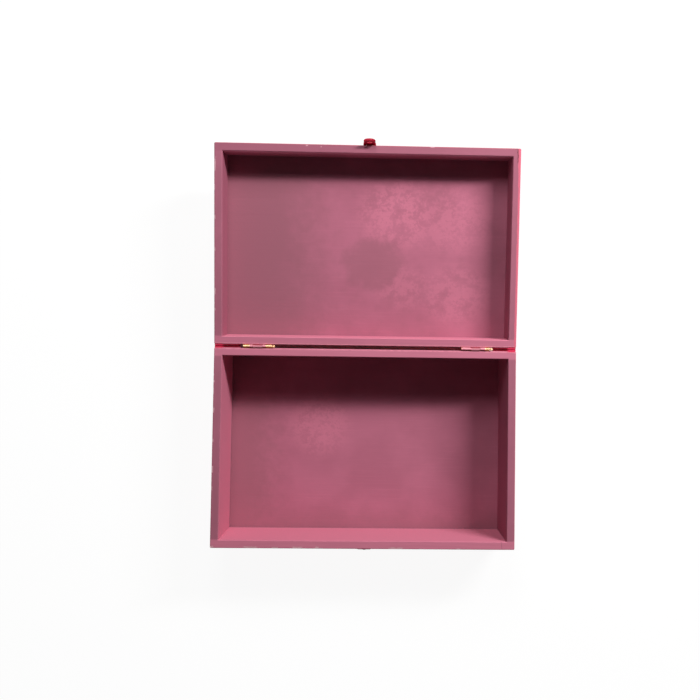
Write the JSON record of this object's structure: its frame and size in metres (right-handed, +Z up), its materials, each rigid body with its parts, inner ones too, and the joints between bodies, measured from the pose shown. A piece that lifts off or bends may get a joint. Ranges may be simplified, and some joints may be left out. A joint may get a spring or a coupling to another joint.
{
  "type": "lidded wooden box",
  "caption": "Shallow rectangular wooden box with a hinged lid, standing open; mauve inside, crimson outside, brass hinges and a small painted swing latch",
  "frame": {"origin": "middle of the underside of the base panel, where the box stands", "axes": "+X to the right along the hinge line, +Y from the box to the opened lid, +Z up"},
  "size_m": [0.305, 0.4097, 0.0963],
  "materials": {
    "painted_wood": "matt mauve paint inside and on the rims, glossy crimson paint outside",
    "hinge_brass": "pressed brass, smeared with mauve paint",
    "painted_latch": "thin brass painted over in glossy crimson"
  },
  "bodies": {
    "box": {"base_panel": "painted_wood", "box_front_wall": "painted_wood", "box_back_wall": "painted_wood", "box_left_wall": "painted_wood", "box_right_wall": "painted_wood", "left_hinge_box_leaf": "hinge_brass", "left_hinge_pin": "hinge_brass", "right_hinge_box_leaf": "hinge_brass", "right_hinge_pin": "hinge_brass", "box_hinge_screws": "hinge_brass", "latch_catch": "painted_latch", "latch_catch_tacks": "painted_latch"},
    "lid": {"lid_top_panel": "painted_wood", "lid_front_wall": "painted_wood", "lid_back_wall": "painted_wood", "lid_left_wall": "painted_wood", "lid_right_wall": "painted_wood", "left_hinge_lid_leaf": "hinge_brass", "right_hinge_lid_leaf": "hinge_brass", "lid_hinge_screws": "hinge_brass", "latch_plate": "painted_latch", "latch_pin": "painted_latch", "latch_plate_tacks": "painted_latch"},
    "latch_tongue": {"latch_tongue": "painted_latch"}
  },
  "joints": [
    {"name": "lid_hinge", "type": "hinge", "parent": "box", "child": "lid", "pos_m": [0, 0.1017, 0.06615], "axis": [1, 0, 0], "range_deg": [0, 174]},
    {"name": "latch_swing", "type": "hinge", "parent": "lid", "child": "latch_tongue", "pos_m": [0.001, 0.30427, 0.08377], "axis": [-1, 0, 0], "range_deg": [-8, 120]}
  ]
}
